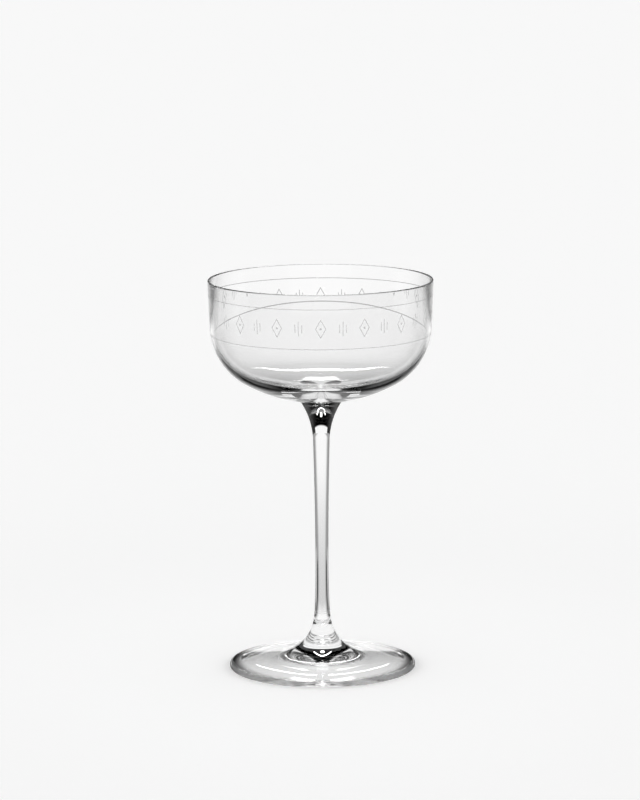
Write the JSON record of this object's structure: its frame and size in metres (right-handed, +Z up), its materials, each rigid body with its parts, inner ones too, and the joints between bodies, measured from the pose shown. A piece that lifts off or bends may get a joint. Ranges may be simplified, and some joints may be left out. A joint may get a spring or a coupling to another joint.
{
  "type": "champagne coupe",
  "caption": "Clear glass champagne coupe: a wide shallow bowl with a thick curved base, on a slim waisted stem and a round disc foot, to drink sparkling wine from.",
  "frame": {"origin": "centre of the flat ring that the foot stands on, on the glass's axis", "axes": "+Z up along the axis from the foot to the rim; the glass is round, so +X and +Y are free"},
  "size_m": [0.1, 0.1, 0.175],
  "materials": {
    "bowl_glass": "polished clear glass",
    "stem_glass": "polished clear glass",
    "foot_glass": "polished clear glass"
  },
  "bodies": {
    "root": {"bowl": "bowl_glass", "stem": "stem_glass", "foot": "foot_glass"}
  },
  "joints": []
}
